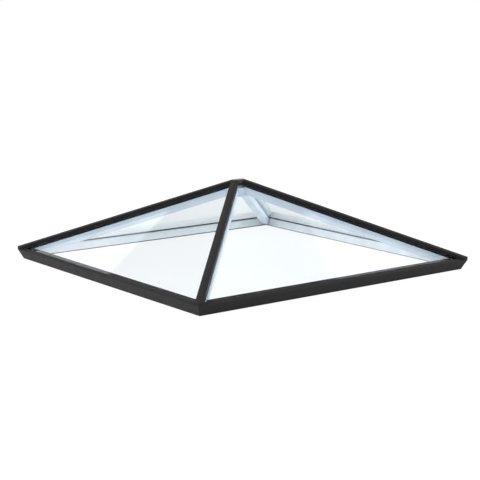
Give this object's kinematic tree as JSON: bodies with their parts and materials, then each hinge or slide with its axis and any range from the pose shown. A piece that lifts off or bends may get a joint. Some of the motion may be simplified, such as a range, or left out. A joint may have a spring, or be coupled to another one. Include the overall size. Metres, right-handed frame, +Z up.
{
  "type": "roof lantern",
  "caption": "Hipped roof lantern with a short ridge, sloping double glazing, dark hips and eaves outside and a white frame inside, set on a roof kerb for daylight.",
  "frame": {"origin": "centre of the plan, level with the lower rim of the skirt that laps the roof kerb", "axes": "+Z up, +X to the right along the ridge and the longer sides, +Y to the back"},
  "size_m": [2, 1.95, 0.5251],
  "materials": {
    "black_powder_coat": "fine matt black powder coat on aluminium",
    "white_powder_coat": "satin white powder coat on aluminium",
    "glass": "clear double glazing with a faint blue tint",
    "spacer": "black warm edge spacer and edge seal",
    "gasket": "black EPDM gasket"
  },
  "bodies": {
    "root": {"front_eaves_beam": "black_powder_coat", "front_eaves_bead": "black_powder_coat", "front_eaves_trim": "white_powder_coat", "front_eaves_gasket": "gasket", "front_outer_pane": "glass", "front_inner_pane": "glass", "front_spacer": "spacer", "right_eaves_beam": "black_powder_coat", "right_eaves_bead": "black_powder_coat", "right_eaves_trim": "white_powder_coat", "right_eaves_gasket": "gasket", "right_outer_pane": "glass", "right_inner_pane": "glass", "right_spacer": "spacer", "back_eaves_beam": "black_powder_coat", "back_eaves_bead": "black_powder_coat", "back_eaves_trim": "white_powder_coat", "back_eaves_gasket": "gasket", "back_outer_pane": "glass", "back_inner_pane": "glass", "back_spacer": "spacer", "left_eaves_beam": "black_powder_coat", "left_eaves_bead": "black_powder_coat", "left_eaves_trim": "white_powder_coat", "left_eaves_gasket": "gasket", "left_outer_pane": "glass", "left_inner_pane": "glass", "left_spacer": "spacer", "front_left_hip_bar": "white_powder_coat", "front_left_hip_cap": "black_powder_coat", "front_left_hip_end": "black_powder_coat", "front_left_hip_gaskets": "gasket", "front_right_hip_bar": "white_powder_coat", "front_right_hip_cap": "black_powder_coat", "front_right_hip_end": "black_powder_coat", "front_right_hip_gaskets": "gasket", "back_right_hip_bar": "white_powder_coat", "back_right_hip_cap": "black_powder_coat", "back_right_hip_end": "black_powder_coat", "back_right_hip_gaskets": "gasket", "back_left_hip_bar": "white_powder_coat", "back_left_hip_cap": "black_powder_coat", "back_left_hip_end": "black_powder_coat", "back_left_hip_gaskets": "gasket", "ridge_boss": "white_powder_coat", "boss_cover": "white_powder_coat", "ridge_cap": "black_powder_coat"}
  },
  "joints": []
}
